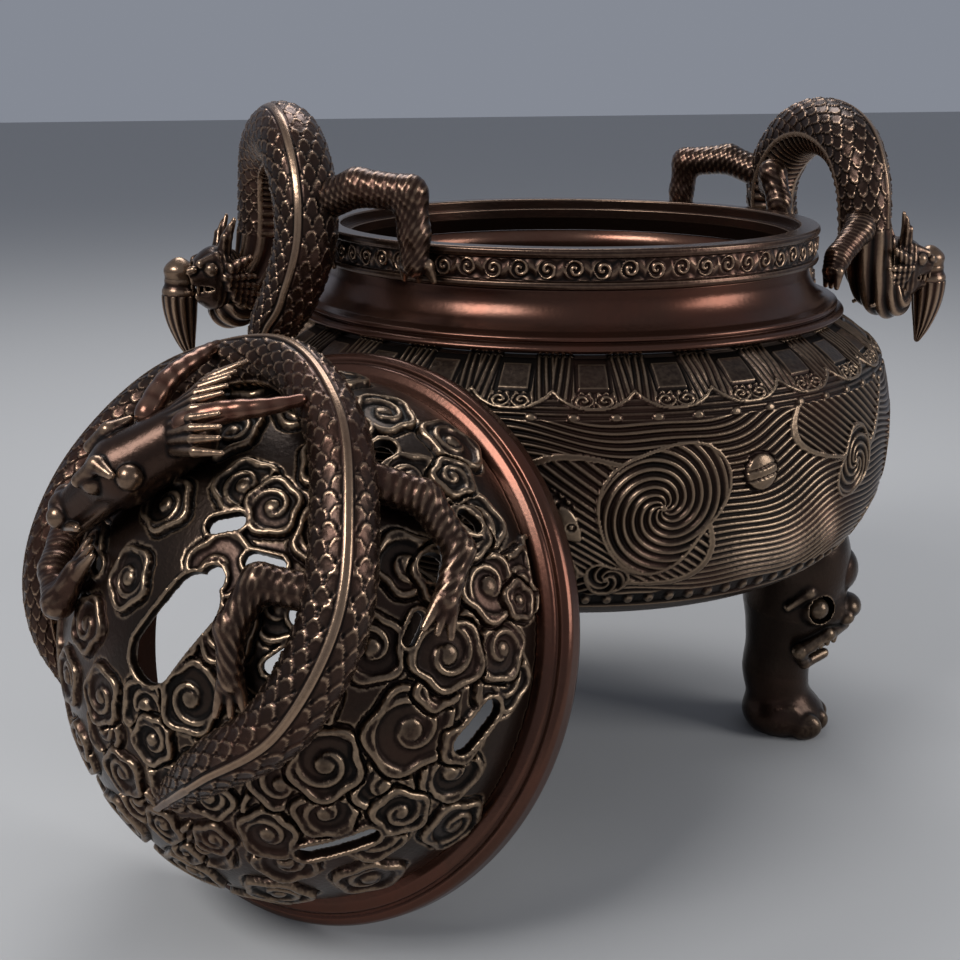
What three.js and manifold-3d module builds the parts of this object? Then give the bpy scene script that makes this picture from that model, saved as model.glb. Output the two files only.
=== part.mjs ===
// Tripod bronze incense burner with two dragon handles and a lid that leans on the bowl.
// Millimetres, +Z up. The pieces are built about the bowl's axis, with the feet on z = 0 and the
// two handles along +X and -X. The group is then moved so that its box is centred on the origin.
import * as THREE from 'three';
import { mergeVertices } from 'three/addons/utils/BufferGeometryUtils.js';
import Module from 'manifold-3d';

const wasm = await Module();
wasm.setup();

// Driving dimensions
const clearance = 0.3;
const rimRadius = 75;
const rimHeight = 162.7;
const collarDepth = 10.5;
const lipWidth = 6;
const ledgeWidth = 2.5;
const neckRadius = 72.5;
const neckHeight = 15;
const shoulderRadius = 82.5;
const bellyRadius = 99;
const bellyHeight = 104;
const undersideHeight = 60;
const bowlWall = 4;
const legSpacing = 120;
const firstLegAngle = -30;
const heelRadius = 60;
const footWidth = 26;
const rivetRadius = 3;
const rivetHeadRadius = 6;
const rivetSeatRadius = 66;
const archOffset = 87;
const archHalfWidth = 27;
const archTop = 189;
const archTubeRadius = 9.2;
const handleLegRadius = 4.2;
const lidRimRadius = 72;
const lidRimWidth = 10;
const lidRimDepth = 8;
const lidDomeHeight = 66;
const lidWall = 3;
const lidDirection = -144;
const lidStandOff = 141;
const lidBandRadius = 6.6;
const latheSegments = 36;
const domeSegments = 28;
const domeSteps = 8;

const bronzeDark = new THREE.MeshStandardMaterial({ color: 0x4a3c30, roughness: 0.42, metalness: 0.9 });
const bronzeWorn = new THREE.MeshStandardMaterial({ color: 0x8a7355, roughness: 0.35, metalness: 0.95 });
const bronzeSmooth = new THREE.MeshStandardMaterial({ color: 0x6e4a3a, roughness: 0.3, metalness: 0.9 });

// Drops triangles that lost an edge when their corners were merged.
function withoutSlivers(index) {
  const kept = [];
  for (let i = 0; i < index.length; i += 3) {
    const [a, b, c] = [index[i], index[i + 1], index[i + 2]];
    if (a !== b && b !== c && c !== a) {
      kept.push(a, b, c);
    }
  }
  return kept;
}

// Turns a closed geometry into a solid that faces out.
function toSolid(geometry) {
  const bare = geometry.clone();
  bare.deleteAttribute('normal');
  bare.deleteAttribute('uv');
  const merged = mergeVertices(bare, 1e-4);
  const vertProperties = new Float32Array(merged.attributes.position.array);
  const kept = withoutSlivers(Array.from(merged.index.array));
  const make = (triangles) => new wasm.Manifold(new wasm.Mesh({
    numProp: 3,
    vertProperties,
    triVerts: new Uint32Array(triangles),
  }));
  const solid = make(kept);
  if (solid.volume() > 0) {
    return solid;
  }
  return make(kept.reverse());
}

// A cut at a seat can leave a loose sliver, so only the largest body is kept.
function mainBody(solid) {
  const bodies = solid.decompose();
  return bodies.reduce((best, body) => (body.volume() > best.volume() ? body : best));
}

function toMesh(name, solid, material) {
  const result = mainBody(solid).getMesh();
  const geometry = new THREE.BufferGeometry();
  geometry.setAttribute('position', new THREE.BufferAttribute(new Float32Array(result.vertProperties), 3));
  geometry.setIndex(new THREE.BufferAttribute(new Uint32Array(result.triVerts), 1));
  geometry.computeVertexNormals();
  const mesh = new THREE.Mesh(geometry, material);
  mesh.name = name;
  return mesh;
}

// Turns a closed profile of (radius, height) pairs about the Z axis.
function lathe(profile, segments = latheSegments) {
  const points = profile.map(([radius, height]) => new THREE.Vector2(radius, height));
  const geometry = new THREE.LatheGeometry(points, segments);
  geometry.rotateX(Math.PI / 2);
  return toSolid(geometry);
}

// A closed tube along a smooth line. Each stop is [x, y, z, radius].
function taperedTube(stops, rings, sides, grow = 0) {
  const line = new THREE.CatmullRomCurve3(stops.map((stop) => new THREE.Vector3(stop[0], stop[1], stop[2])));
  const frames = line.computeFrenetFrames(rings, false);
  const corners = [];
  const triangles = [];
  for (let i = 0; i <= rings; i += 1) {
    const middle = line.getPointAt(i / rings);
    const along = line.getUtoTmapping(i / rings) * (stops.length - 1);
    const before = Math.min(Math.floor(along), stops.length - 2);
    const radius = grow + THREE.MathUtils.lerp(stops[before][3], stops[before + 1][3], along - before);
    for (let k = 0; k < sides; k += 1) {
      const angle = (2 * Math.PI * k) / sides;
      const corner = middle.clone();
      corner.addScaledVector(frames.normals[i], radius * Math.cos(angle));
      corner.addScaledVector(frames.binormals[i], radius * Math.sin(angle));
      corners.push(corner.x, corner.y, corner.z);
    }
  }
  for (let i = 0; i < rings; i += 1) {
    for (let k = 0; k < sides; k += 1) {
      const a = i * sides + k;
      const b = i * sides + ((k + 1) % sides);
      triangles.push(a, b, b + sides, a, b + sides, a + sides);
    }
  }
  for (const [ring, turn] of [[0, true], [rings, false]]) {
    const first = ring * sides;
    for (let k = 1; k < sides - 1; k += 1) {
      triangles.push(first, first + (turn ? k + 1 : k), first + (turn ? k : k + 1));
    }
  }
  const geometry = new THREE.BufferGeometry();
  geometry.setAttribute('position', new THREE.BufferAttribute(new Float32Array(corners), 3));
  geometry.setIndex(triangles);
  return toSolid(geometry);
}

function ball(x, y, z, rx, ry = rx, rz = rx, sides = 8) {
  const geometry = new THREE.SphereGeometry(1, sides, sides / 2 + 2);
  geometry.scale(rx, ry, rz);
  geometry.translate(x, y, z);
  return toSolid(geometry);
}

function post(x, y, low, high, radius) {
  const geometry = new THREE.CylinderGeometry(radius, radius, high - low, 12);
  geometry.rotateX(Math.PI / 2);
  geometry.translate(x, y, (low + high) / 2);
  return toSolid(geometry);
}

// Bowl, neck and collar
const collarBottom = rimHeight - collarDepth;
const neckBottom = collarBottom - neckHeight;

// The bowl's outside from the middle of its underside up to the shoulder.
function bellyOutline() {
  const low = undersideHeight;
  const high = neckBottom - clearance;
  return new THREE.SplineCurve([
    new THREE.Vector2(bellyRadius * 0.46, low),
    new THREE.Vector2(bellyRadius * 0.67, low + 2.2),
    new THREE.Vector2(bellyRadius * 0.86, low + (bellyHeight - low) * 0.2),
    new THREE.Vector2(bellyRadius * 0.97, low + (bellyHeight - low) * 0.54),
    new THREE.Vector2(bellyRadius, bellyHeight),
    new THREE.Vector2(bellyRadius * 0.965, high - (high - bellyHeight) * 0.38),
    new THREE.Vector2(bellyRadius * 0.9, high - (high - bellyHeight) * 0.16),
    new THREE.Vector2(shoulderRadius - 1.5, high),
  ]).getPoints(12);
}

const belly = bellyOutline();

// The bowl's wall, with its outside moved out and its inside moved in by grow.
function bowlWallSolid(grow) {
  const outside = belly.map((point) => [point.x + grow, point.y]);
  const inside = belly.map((point) => [point.x - bowlWall - grow, Math.max(point.y, undersideHeight + bowlWall)]);
  const profile = [[0, undersideHeight - grow], [outside[0][0], undersideHeight - grow], ...outside.slice(1)];
  profile.push(...inside.reverse().map(([radius, height]) => [radius, height + (height < 70 ? grow : 0)]));
  profile.push([0, undersideHeight + bowlWall + grow]);
  return lathe(profile);
}

// The neck's outside with the two beads at the shoulder, from its foot to its top.
function neckOutline(grow) {
  return [
    [shoulderRadius + grow, neckBottom],
    [shoulderRadius + 0.6 + grow, neckBottom + 1.4],
    [shoulderRadius - 1.8 + grow, neckBottom + 2.4],
    [shoulderRadius - 1.6 + grow, neckBottom + 3.6],
    [shoulderRadius - 4.5 + grow, neckBottom + 5],
    [neckRadius + 2.2 + grow, neckBottom + 7.5],
    [neckRadius + 0.3 + grow, neckBottom + 11],
    [neckRadius + grow, neckBottom + neckHeight - clearance],
  ];
}

function neckRing() {
  const inner = neckRadius - bowlWall;
  return lathe([
    [shoulderRadius - bowlWall - 1.5, neckBottom],
    ...neckOutline(0),
    [inner, neckBottom + neckHeight - clearance],
    [inner + 1, neckBottom + 7.5],
    [shoulderRadius - bowlWall - 1.5, neckBottom],
  ]);
}

function collarOutline(grow) {
  return [
    [rimRadius - 1 + grow, collarBottom],
    [rimRadius + grow, collarBottom + 0.6],
    [rimRadius + grow, collarBottom + 1.8],
    [rimRadius - 1 + grow, collarBottom + 2.3],
    [rimRadius - 1 + grow, rimHeight - 2.6],
    [rimRadius + grow, rimHeight - 2.1],
    [rimRadius + grow, rimHeight - 0.5],
    [rimRadius - 0.6 + grow, rimHeight],
  ];
}

function rimCollar() {
  const lip = rimRadius - lipWidth;
  return lathe([
    [neckRadius - bowlWall, collarBottom],
    ...collarOutline(0),
    [lip, rimHeight],
    [lip, rimHeight - 3.2],
    [lip - ledgeWidth, rimHeight - 3.2],
    [lip - ledgeWidth, rimHeight - 6],
    [neckRadius - bowlWall, collarBottom],
  ]);
}

// Everything of the vessel that a handle or foot may touch, wider by the clearance.
function vesselKeepOut() {
  const profile = [[0, undersideHeight - clearance], [belly[0].x, undersideHeight - clearance]];
  profile.push(...belly.slice(1).map((point) => [point.x + clearance, point.y]));
  profile.push(...neckOutline(clearance).map(([radius, height]) => [radius, height + 0.01]));
  profile.push(...collarOutline(clearance));
  profile.push([0, rimHeight + clearance]);
  return lathe(profile);
}

const keepOut = vesselKeepOut();

// Legs, built at angle 0 with X pointing away from the bowl's axis
function legBlank() {
  const half = footWidth / 2;
  const sections = [
    [0, 25.4, half - 1],
    [6, 26, half],
    [12, 22, half - 1.6],
    [19, 17, half - 4],
    [25, 18.5, half - 3],
    [32, 27, half + 0.5],
    [42, 30.5, half + 2.2],
    [54, 33, half + 3],
    [72, 31, half + 2.6],
  ];
  const sides = 16;
  const corners = [];
  const triangles = [];
  for (const [height, depth, halfWidth] of sections) {
    for (let k = 0; k < sides; k += 1) {
      const angle = (2 * Math.PI * k) / sides;
      corners.push(heelRadius + (depth / 2) * (1 + Math.cos(angle)), halfWidth * Math.sin(angle), height);
    }
  }
  for (let i = 0; i < sections.length - 1; i += 1) {
    for (let k = 0; k < sides; k += 1) {
      const a = i * sides + k;
      const b = i * sides + ((k + 1) % sides);
      triangles.push(a, b, b + sides, a, b + sides, a + sides);
    }
  }
  const top = (sections.length - 1) * sides;
  for (let k = 1; k < sides - 1; k += 1) {
    triangles.push(0, k + 1, k);
    triangles.push(top, top + k, top + k + 1);
  }
  const geometry = new THREE.BufferGeometry();
  geometry.setAttribute('position', new THREE.BufferAttribute(new Float32Array(corners), 3));
  geometry.setIndex(triangles);
  return toSolid(geometry);
}

const turned = (solid, degrees) => solid.rotate([0, 0, degrees]);

function legSolid(angle) {
  const crown = heelRadius + 27.3;
  let leg = legBlank();
  leg = leg.add(ball(crown, 0, 53, 6.5, 8, 6.5));
  leg = leg.add(ball(crown + 1.5, 0, 37.5, 5, 6.5, 4.5));
  for (const side of [-1, 1]) {
    leg = leg.add(ball(heelRadius + 19, side * 12, 43, 5, 5.2, 5));
    leg = leg.add(ball(heelRadius + 12, side * 13.5, 33, 6.5, 4, 6));
    leg = leg.add(ball(heelRadius + 8, side * 14, 52, 6, 5, 7));
  }
  for (const spread of [-8.4, 0, 8.4]) {
    leg = leg.add(ball(heelRadius + 20.5 - Math.abs(spread) / 6, spread, 5.2, 6.2, 4.3, 5.1));
  }
  leg = leg.subtract(post(rivetSeatRadius, 0, 46, 90, rivetRadius + clearance));
  return turned(leg, angle).subtract(keepOut);
}

function rivetSolid(angle) {
  const seat = undersideHeight + bowlWall + clearance;
  let rivet = post(rivetSeatRadius, 0, 48, seat + 2, rivetRadius);
  rivet = rivet.add(ball(rivetSeatRadius, 0, seat + 2, rivetHeadRadius, rivetHeadRadius, 3.4, 12));
  const hole = post(rivetSeatRadius, 0, 40, 90, rivetRadius + clearance);
  const wall = bowlWallSolid(clearance).subtract(turned(hole, angle));
  return turned(rivet, angle).subtract(wall);
}

// Handles, built at angle 0: X away from the bowl, Y on the tail's side
const archStops = [
  [archOffset + 13.4, 22, 127, 3],
  [archOffset + 12.2, 23, 133, 5.4],
  [archOffset + 9.4, 24, 140.5, 7],
  [archOffset + 5, 25.5, 149, 8],
  [archOffset + 1, archHalfWidth, 162, 8.6],
  [archOffset, archHalfWidth * 0.88, 175, 9],
  [archOffset, archHalfWidth * 0.45, 186, archTubeRadius],
  [archOffset, -archHalfWidth * 0.12, archTop, archTubeRadius],
  [archOffset, -archHalfWidth * 0.66, 184, 9],
  [archOffset, -archHalfWidth * 0.95, 173, 8.6],
  [archOffset + 1, -archHalfWidth, 159, 8.2],
  [archOffset + 3, -archHalfWidth, 149, 7.8],
  [archOffset + 7, -archHalfWidth, 141, 7.4],
  [archOffset + 12.5, -archHalfWidth, 137.6, 7],
  [archOffset + 17, -archHalfWidth + 0.5, 141, 6.8],
];

function archSolid(grow) {
  return taperedTube(archStops, 30, 10, grow);
}

function headSolid() {
  const y = -archHalfWidth + 1;
  const skull = archOffset + 11;
  let head = taperedTube([
    [skull + 1, y, 149, 7],
    [skull + 5, y, 148.5, 8.6],
    [skull + 10, y, 147, 7.4],
    [skull + 15, y, 146, 5.6],
  ], 8, 10);
  head = head.add(ball(skull + 6, y - 6, 153, 4, 3, 3));
  head = head.add(ball(skull + 6, y + 6, 153, 4, 3, 3));
  head = head.add(taperedTube([
    [skull + 4, y, 152, 3.2],
    [skull + 3.5, y, 158, 2.6],
    [skull + 2.6, y, 164, 1.6],
  ], 6, 8));
  return head;
}

function beardSolid(grow) {
  const y = -archHalfWidth + 1;
  const tip = archOffset + 27;
  return ball(tip, y, 148.4, 5 + grow, 5 + grow, 5 + grow).add(taperedTube([
    [tip, y, 148, 5.2],
    [tip + 0.6, y, 141, 5.8],
    [tip - 0.4, y, 133, 4.6],
    [tip - 2.4, y, 122, 1.2],
  ], 8, 8, grow));
}

function limb(stops, claws) {
  const paw = stops[stops.length - 1];
  let solid = taperedTube(stops, 10, 8);
  for (const side of claws) {
    solid = solid.add(ball(paw[0] + side[0], paw[1] + side[1], paw[2] + 1, 2.2, 2.2, 3.4, 6));
  }
  return solid;
}

const rimGrip = rimRadius + handleLegRadius + clearance;

function rimPaw(angle, height) {
  const turn = THREE.MathUtils.degToRad(angle);
  return [rimGrip * Math.cos(turn), rimGrip * Math.sin(turn), height];
}

function handleLegs() {
  const root = [archOffset - 1, archHalfWidth - 3, 171];
  const hindPaw = rimPaw(36.5, collarBottom + 4.5);
  const hindKnee = rimPaw(35.5, rimHeight + 13);
  const midPaw = rimPaw(6, collarBottom + 5);
  const midKnee = rimPaw(9, rimHeight + 11);
  const forePaw = [neckRadius * 0.9 + 3, -neckRadius * 0.5 - 1.5, collarBottom - 4];
  return [
    ['hind_leg', limb([
      [...root, 5.4],
      [archOffset - 11, archHalfWidth + 10, 177, 5],
      [...hindKnee, 4.8],
      [hindPaw[0], hindPaw[1], rimHeight + 3, handleLegRadius],
      [...hindPaw, handleLegRadius],
    ], [[1.5, 3], [3, -1]])],
    ['middle_leg', limb([
      [archOffset - 3, archHalfWidth * 0.8, 168, 4.4],
      [...midKnee, 4.6],
      [midPaw[0], midPaw[1], rimHeight + 2, handleLegRadius - 0.4],
      [...midPaw, handleLegRadius],
    ], [[1, 3], [1, -3]])],
    ['fore_leg', limb([
      [archOffset - 1, -archHalfWidth + 1, 166, 4.4],
      [archOffset - 5, -archHalfWidth - 6, 160, 4.4],
      [forePaw[0] + 2, forePaw[1] + 1, 152, 3.8],
      [...forePaw, 3.8],
    ], [[2, 2], [2, -2]])],
  ];
}

function handlePieces() {
  const keepArch = archSolid(clearance);
  const arch = archSolid(0).subtract(keepOut);
  const head = headSolid().subtract(keepArch).subtract(beardSolid(clearance));
  const pieces = [['body', arch], ['head', head], ['beard', beardSolid(0)]];
  for (const [name, solid] of handleLegs()) {
    pieces.push([name, solid.subtract(keepArch).subtract(keepOut)]);
  }
  return pieces;
}

// Lid, built with its rim's plane at z = 0 and its dome towards +Z; Y points up its lean
function lidRim() {
  const inner = lidRimRadius - lidRimWidth;
  return lathe([
    [inner, 0],
    [lidRimRadius - 1, 0],
    [lidRimRadius, 1],
    [lidRimRadius, lidRimDepth - 3],
    [lidRimRadius - 1.6, lidRimDepth - 1],
    [lidRimRadius - 4.5, lidRimDepth],
    [inner, lidRimDepth],
    [inner, 0],
  ]);
}

// Radius of the dome's outside at an angle down from its top.
const domeFoot = lidRimDepth + clearance;
const domeRadius = lidRimRadius - lidRimWidth + 4;

function domePoint(angle, shrink) {
  const height = lidDomeHeight - domeFoot;
  return [(domeRadius - shrink) * Math.sin(angle), domeFoot + (height - shrink) * Math.cos(angle)];
}

function domeShell() {
  const steps = domeSteps;
  const profile = [];
  for (let i = 0; i <= steps; i += 1) {
    profile.push(domePoint((Math.PI / 2) * (1 - i / steps), 0));
  }
  profile[steps][0] = 0;
  const inside = [];
  for (let i = 0; i <= steps; i += 1) {
    inside.push(domePoint((Math.PI / 2) * (i / steps), lidWall));
  }
  inside[0][0] = 0;
  return lathe([...profile, ...inside, profile[0]], domeSegments);
}

// A point above the dome: degrees down from the top, degrees round it, and a rise.
function overDome(down, round, rise) {
  const [radius, height] = domePoint(THREE.MathUtils.degToRad(down), 0);
  const angle = THREE.MathUtils.degToRad(round);
  const scale = 1 + rise / domeRadius;
  return [radius * scale * Math.cos(angle), radius * scale * Math.sin(angle), domeFoot + (height - domeFoot) * scale];
}

const lidOpenings = [
  [12, -150, 8],
  [34, -165, 5],
  [52, -160, 6],
  [58, -115, 6],
  [60, -75, 6],
  [58, -40, 6],
  [60, -8, 6.5],
  [40, -80, 5],
  [36, -120, 5],
  [22, 40, 4.5],
  [58, 100, 6],
  [60, 140, 6],
  [62, 175, 5],
];

function lidDome() {
  let dome = domeShell();
  for (const [down, round, radius] of lidOpenings) {
    const [x, y, z] = overDome(down, round, 0);
    const tool = new THREE.CylinderGeometry(radius, radius, 36, 8);
    const outward = new THREE.Vector3(x, y, z - domeFoot).normalize();
    const turn = new THREE.Quaternion().setFromUnitVectors(new THREE.Vector3(0, 1, 0), outward);
    tool.applyQuaternion(turn);
    tool.translate(x, y, z);
    dome = dome.subtract(toSolid(tool));
  }
  return dome.subtract(lidRimKeepOut());
}

function lidRimKeepOut() {
  return lathe([
    [lidRimRadius - lidRimWidth - clearance, -1],
    [lidRimRadius + 4, -1],
    [lidRimRadius + 4, domeFoot - clearance],
    [lidRimRadius - lidRimWidth - clearance, lidRimDepth + clearance],
    [lidRimRadius - lidRimWidth - clearance, -1],
  ]);
}

// The lid's dragon lies on the dome: each stop is degrees down, degrees round, rise and radius.
const lidBodyStops = [
  [66, -150, 2, 2.4],
  [56, -168, 3, 4.6],
  [52, 172, 3.4, 5.8],
  [56, 148, 3.4, 6.4],
  [62, 122, 3, lidBandRadius],
  [62, 92, 3, lidBandRadius],
  [52, 64, 3.4, lidBandRadius],
  [43, 38, 3.6, lidBandRadius],
  [38, 12, 3.6, lidBandRadius],
  [33, -18, 3.4, 6.2],
  [29, -55, 3, 5.2],
  [34, -90, 2.6, 3.8],
  [44, -106, 2, 2],
];

function lidBand(grow) {
  const stops = lidBodyStops.map(([down, round, rise, radius]) => [...overDome(down, round, rise + 3), radius]);
  return taperedTube(stops, 40, 8, grow);
}

function domeKeepOut() {
  const steps = domeSteps;
  const profile = [];
  for (let i = 0; i <= steps; i += 1) {
    profile.push(domePoint((Math.PI / 2) * (1 - i / steps), -clearance));
  }
  profile[steps][0] = 0;
  return lathe([[0, -2], [profile[0][0], -2], ...profile], domeSegments);
}

function lidPieces() {
  const keepDome = domeKeepOut();
  const keepBand = lidBand(clearance);
  const rimGuard = lathe([[0, -2], [90, -2], [90, lidRimDepth + clearance], [0, lidRimDepth + clearance]]);
  const settle = (solid) => solid.subtract(keepDome).subtract(rimGuard);
  const place = (down, round, rise, radius) => [...overDome(down, round, rise), radius];
  const headStops = [
    place(38, 95, 6, 7),
    place(32, 106, 7, 9),
    place(28, 122, 7, 9),
    place(30, 140, 6, 7),
    place(34, 150, 5, 5.6),
  ];
  const head = taperedTube(headStops, 8, 8);
  const keepHead = taperedTube(headStops, 8, 8, clearance);
  const pieces = [
    ['dome', lidDome()],
    ['rim', lidRim()],
    ['dragon_body', settle(lidBand(0))],
    ['dragon_head', settle(head).subtract(keepBand)],
  ];
  const horns = [
    [place(34, 96, 12, 3.2), place(38, 84, 13, 2.8), place(44, 74, 12, 2), place(50, 70, 11, 1.4)],
    [place(36, 110, 12, 3.2), place(46, 108, 13, 2.8), place(56, 106, 12, 2), place(64, 108, 11, 1.4)],
  ];
  horns.forEach((stops, i) => {
    pieces.push([`dragon_horn_${i + 1}`, settle(taperedTube(stops, 6, 6)).subtract(keepHead).subtract(keepBand)]);
  });
  const legs = [
    [place(44, 160, 3, 4.4), place(34, 172, 4, 4), place(27, -178, 4, 3.6), place(24, 165, 3, 2.6)],
    [place(36, 22, 3, 4.4), place(26, 30, 4, 4), place(20, 12, 4, 3.4), place(22, -14, 3, 2.6)],
    [place(52, 48, 3, 4.4), place(60, 40, 4, 4), place(64, 28, 4, 3.4), place(60, 18, 3, 2.6)],
  ];
  legs.forEach((stops, i) => {
    pieces.push([`dragon_leg_${i + 1}`, settle(taperedTube(stops, 8, 6)).subtract(keepBand).subtract(keepHead)]);
  });
  return pieces;
}

// Largest radius of the vessel's outside at a height.
function vesselRadiusAt(height) {
  const outline = [...belly.map((point) => [point.x, point.y]), ...neckOutline(0), ...collarOutline(0)];
  let radius = 0;
  for (let i = 1; i < outline.length; i += 1) {
    const [r0, z0] = outline[i - 1];
    const [r1, z1] = outline[i];
    if (height >= z0 && height <= z1 && z1 > z0) {
      radius = Math.max(radius, THREE.MathUtils.lerp(r0, r1, (height - z0) / (z1 - z0)));
    }
  }
  return radius;
}

// Least gap between the back of the lid's rim and the vessel at a lean.
function rimGap(lean) {
  const samples = 24;
  let gap = Infinity;
  for (const radius of [lidRimRadius - lidRimWidth, lidRimRadius - lidRimWidth / 2, lidRimRadius]) {
    for (let i = 0; i <= samples; i += 1) {
      const angle = (Math.PI / 2) * (i / samples);
      const along = lidRimRadius + radius * Math.cos(angle);
      const aside = radius * Math.sin(angle);
      const reach = Math.hypot(lidStandOff - along * Math.sin(lean), aside);
      gap = Math.min(gap, reach - vesselRadiusAt(along * Math.cos(lean)));
    }
  }
  return gap;
}

// The lid leans until its rim meets the vessel, short by the clearance.
function leanAngle() {
  let upright = 0;
  let fallen = Math.PI / 3;
  const halvings = 30;
  for (let i = 0; i < halvings; i += 1) {
    const middle = (upright + fallen) / 2;
    if (rimGap(middle) > clearance) {
      upright = middle;
    } else {
      fallen = middle;
    }
  }
  return upright;
}

const bronzeFor = { rim: bronzeSmooth, dome: bronzeDark };

const burner = new THREE.Group();
burner.name = 'tripod_incense_burner';

let bowl = bowlWallSolid(0);
for (let i = 0; i < 3; i += 1) {
  const hole = post(rivetSeatRadius, 0, 40, 90, rivetRadius + clearance);
  bowl = bowl.subtract(turned(hole, firstLegAngle + i * legSpacing));
}
burner.add(toMesh('belly_bowl', bowl, bronzeDark));
burner.add(toMesh('neck_ring', neckRing(), bronzeSmooth));
burner.add(toMesh('rim_collar', rimCollar(), bronzeWorn));

for (let i = 0; i < 3; i += 1) {
  const angle = firstLegAngle + i * legSpacing;
  burner.add(toMesh(`mask_leg_${i + 1}`, legSolid(angle), bronzeDark));
  burner.add(toMesh(`leg_rivet_${i + 1}`, rivetSolid(angle), bronzeSmooth));
}

const handle = handlePieces();
for (let i = 0; i < 2; i += 1) {
  for (const [name, solid] of handle) {
    burner.add(toMesh(`handle_${i + 1}_${name}`, turned(solid, 180 * i), bronzeDark));
  }
}

const lid = new THREE.Group();
const lean = leanAngle();
const outwardTurn = THREE.MathUtils.degToRad(lidDirection);
const radial = new THREE.Vector3(Math.cos(outwardTurn), Math.sin(outwardTurn), 0);
const lidZ = radial.clone().multiplyScalar(Math.cos(lean)).add(new THREE.Vector3(0, 0, Math.sin(lean)));
const lidY = radial.clone().multiplyScalar(-Math.sin(lean)).add(new THREE.Vector3(0, 0, Math.cos(lean)));
const lidX = new THREE.Vector3().crossVectors(lidY, lidZ);
lid.quaternion.setFromRotationMatrix(new THREE.Matrix4().makeBasis(lidX, lidY, lidZ));
lid.position.copy(radial.multiplyScalar(lidStandOff)).addScaledVector(lidY, lidRimRadius);
for (const [name, solid] of lidPieces()) {
  lid.add(toMesh(`lid_${name}`, solid, bronzeFor[name] ?? bronzeWorn));
}
burner.add(lid);

// The origin is the middle of the whole object's box, on the surface it stands on.
burner.updateMatrixWorld(true);
const middle = new THREE.Box3().setFromObject(burner, true).getCenter(new THREE.Vector3());
burner.position.set(-middle.x, -middle.y, 0);

export default burner;
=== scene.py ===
import math

import bpy
import numpy as np
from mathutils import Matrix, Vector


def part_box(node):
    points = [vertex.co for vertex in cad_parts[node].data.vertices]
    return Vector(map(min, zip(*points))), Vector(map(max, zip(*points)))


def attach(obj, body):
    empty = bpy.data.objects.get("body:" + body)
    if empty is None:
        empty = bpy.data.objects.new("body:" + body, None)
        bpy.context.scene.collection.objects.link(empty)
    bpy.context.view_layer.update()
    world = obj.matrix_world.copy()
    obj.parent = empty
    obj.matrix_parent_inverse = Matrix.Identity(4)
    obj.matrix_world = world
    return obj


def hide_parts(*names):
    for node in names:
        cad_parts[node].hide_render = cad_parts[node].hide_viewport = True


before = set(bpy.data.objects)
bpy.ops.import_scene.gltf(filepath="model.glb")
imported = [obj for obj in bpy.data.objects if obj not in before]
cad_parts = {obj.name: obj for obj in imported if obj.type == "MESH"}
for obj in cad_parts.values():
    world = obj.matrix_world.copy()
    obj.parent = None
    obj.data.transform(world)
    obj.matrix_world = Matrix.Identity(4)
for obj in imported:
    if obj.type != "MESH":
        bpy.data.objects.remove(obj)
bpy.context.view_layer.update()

import openvdb
from mathutils import Matrix, Vector

TAU = 2 * math.pi

collar_low, collar_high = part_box("rim_collar")
AXIS = np.array([(collar_low[0] + collar_high[0]) * 500, (collar_low[1] + collar_high[1]) * 500, 0.0])

# Sizes that the CAD shares, in millimetres
RIM_RADIUS = 75.0
RIM_HEIGHT = 162.7
COLLAR_BOTTOM = 152.2
NECK_BOTTOM = 137.2
NECK_RADIUS = 72.5
SHOULDER_RADIUS = 82.5
BELLY_RADIUS = 99.0
BELLY_HEIGHT = 104.0
UNDERSIDE = 60.0
WALL = 4.0
ARCH_OFFSET = 87.0
ARCH_HALF_WIDTH = 27.0
ARCH_TOP = 189.0
LID_RADIUS = 72.0
LID_RIM_WIDTH = 10.0
LID_RIM_DEPTH = 8.0
LID_HEIGHT = 66.0
GAP = 0.3
LEG_ANGLES = (-30, 90, 210)

# The photograph's camera, from the bowl's axis: a 52 mm lens that looks slightly down.
CAMERA_MM = (-172.6, -391.7, 205.7)
HEADING = (0.3452, 0.9385)
PITCH = math.radians(16.4)
LENS = 52.0
SENSOR = 36.0
PHOTO_SIZE = 960


# Small helpers

def unit(vector):
    return vector / np.maximum(np.linalg.norm(vector, axis=-1, keepdims=True), 1e-9)


def smooth(low, high, value):
    t = np.clip((value - low) / (high - low), 0, 1)
    return t * t * (3 - 2 * t)


def ridge(phase):
    return (0.5 + 0.5 * np.cos(phase)) ** 0.8


def through(points, count):
    """Points evenly spaced along a smooth curve through the given ones, extra columns carried along."""
    points = np.asarray(points, float)
    padded = np.vstack([2 * points[0] - points[1], points, 2 * points[-1] - points[-2]])
    spans = len(points) - 1
    t = np.linspace(0, spans, spans * 24 + 1)
    k = np.minimum(t.astype(int), spans - 1)
    f = (t - k)[:, None]
    p0, p1, p2, p3 = (padded[k + i] for i in range(4))
    fine = 0.5 * (2 * p1 + (p2 - p0) * f + (2 * p0 - 5 * p1 + 4 * p2 - p3) * f**2
                  + (3 * p1 - p0 - 3 * p2 + p3) * f**3)
    span = min(3, points.shape[1])
    length = np.concatenate([[0], np.cumsum(np.linalg.norm(np.diff(fine[:, :span], axis=0), axis=1))])
    wanted = np.linspace(0, length[-1], count)
    columns = [np.interp(wanted, length, fine[:, i]) for i in range(points.shape[1])]
    return np.stack(columns, 1), wanted


def grid_quads(rows, columns):
    i = np.arange(rows - 1)[:, None]
    j = np.arange(columns)[None, :]
    a = i * columns + j
    b = i * columns + (j + 1) % columns
    return np.stack([a, b, b + columns, a + columns], -1).reshape(-1, 4)


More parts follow.
